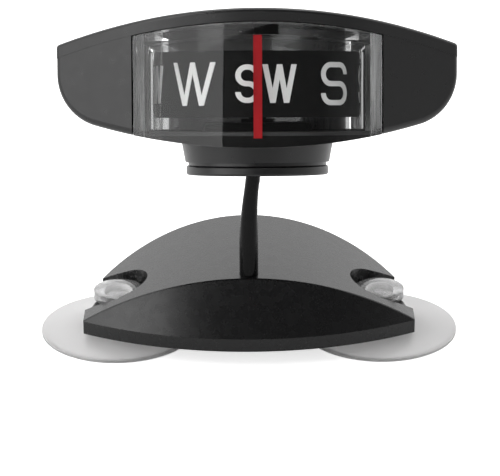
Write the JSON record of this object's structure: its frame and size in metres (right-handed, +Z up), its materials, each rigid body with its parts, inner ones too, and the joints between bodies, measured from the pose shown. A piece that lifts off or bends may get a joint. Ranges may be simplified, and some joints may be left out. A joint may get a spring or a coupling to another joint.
{
  "type": "dashboard compass",
  "caption": "Liquid card compass in a wide winged head with a clear curved lens, on a slim bent arm with a ball joint, standing on a low arched base with suction cups.",
  "frame": {"origin": "middle of the overall box seen from above, at the height of the suction cups' rims", "axes": "+X to the viewer's right across the head, +Y to the back, away from the reading side, +Z up"},
  "size_m": [0.1176, 0.073, 0.1023],
  "materials": {
    "housing_black": "satin black moulded plastic",
    "base_black": "satin black moulded plastic",
    "arm_black": "glossy black plastic",
    "clear_lens": "clear polished acrylic",
    "soft_clear": "clear soft vinyl",
    "capsule_black": "dull black plastic",
    "card_black": "dull black plastic",
    "letter_white": "white print",
    "lubber_red": "red plastic strip",
    "socket_plastic": "dark acetal",
    "liner_white": "natural nylon",
    "rubber_black": "black rubber",
    "brass": "turned brass",
    "plate_metal": "stamped sheet",
    "pin_steel": "hardened and polished",
    "jewel": "polished",
    "magnet": "dull grey"
  },
  "bodies": {
    "base": {"base_shell": "base_black", "arm": "arm_black", "arm_foot_plate": "plate_metal", "foot_screws": "brass", "suction_cup_left": "soft_clear", "suction_cup_right": "soft_clear"},
    "liner": {"socket_liner_lower": "liner_white", "socket_liner_upper": "liner_white"},
    "mount": {"mount_disc": "housing_black", "swivel_hub": "socket_plastic", "socket_cap": "socket_plastic", "disc_screws": "brass", "friction_washer": "brass"},
    "head": {"swivel_collar": "housing_black", "collar_screws": "brass", "capsule_floor": "capsule_black", "floor_gasket": "rubber_black", "expansion_diaphragm": "rubber_black", "diaphragm_ring": "capsule_black", "capsule_bowl": "clear_lens", "fill_plug": "capsule_black", "lubber_line": "lubber_red", "pivot_post": "capsule_black", "pivot_pin": "pin_steel", "body_shell": "housing_black", "top_cover": "housing_black", "cover_screws": "brass"},
    "card": {"card_drum": "card_black", "card_lettering": "letter_white", "jewel_cup": "jewel", "card_magnets": "magnet"},
    "rotor_left": {"compensator_rotor_left": "brass", "compensator_magnet_left": "magnet"},
    "rotor_right": {"compensator_rotor_right": "brass", "compensator_magnet_right": "magnet"}
  },
  "joints": [
    {"name": "head_pitch", "type": "hinge", "parent": "base", "child": "liner", "pos_m": [0.0024, -0.00816, 0.0565], "axis": [1, 0, 0], "range_deg": [-4, 44]},
    {"name": "head_roll", "type": "hinge", "parent": "liner", "child": "mount", "pos_m": [0.0024, -0.00816, 0.0565], "axis": [0, 0.9397, -0.342], "range_deg": [-10, 10]},
    {"name": "head_swivel", "type": "hinge", "parent": "mount", "child": "head", "pos_m": [0.0024, -0.00816, 0.0565], "axis": [0, 0.342, 0.9397], "continuous": true},
    {"name": "card_spin", "type": "hinge", "parent": "head", "child": "card", "pos_m": [0.0024, -0.00043, 0.07774], "axis": [0, 0.342, 0.9397], "continuous": true},
    {"name": "compensator_left", "type": "hinge", "parent": "head", "child": "rotor_left", "pos_m": [-0.03825, 0.00087, 0.0696], "axis": [0, 0.9397, -0.342], "continuous": true},
    {"name": "compensator_right", "type": "hinge", "parent": "head", "child": "rotor_right", "pos_m": [0.04305, 0.00087, 0.0696], "axis": [0, 0.9397, -0.342], "continuous": true}
  ]
}
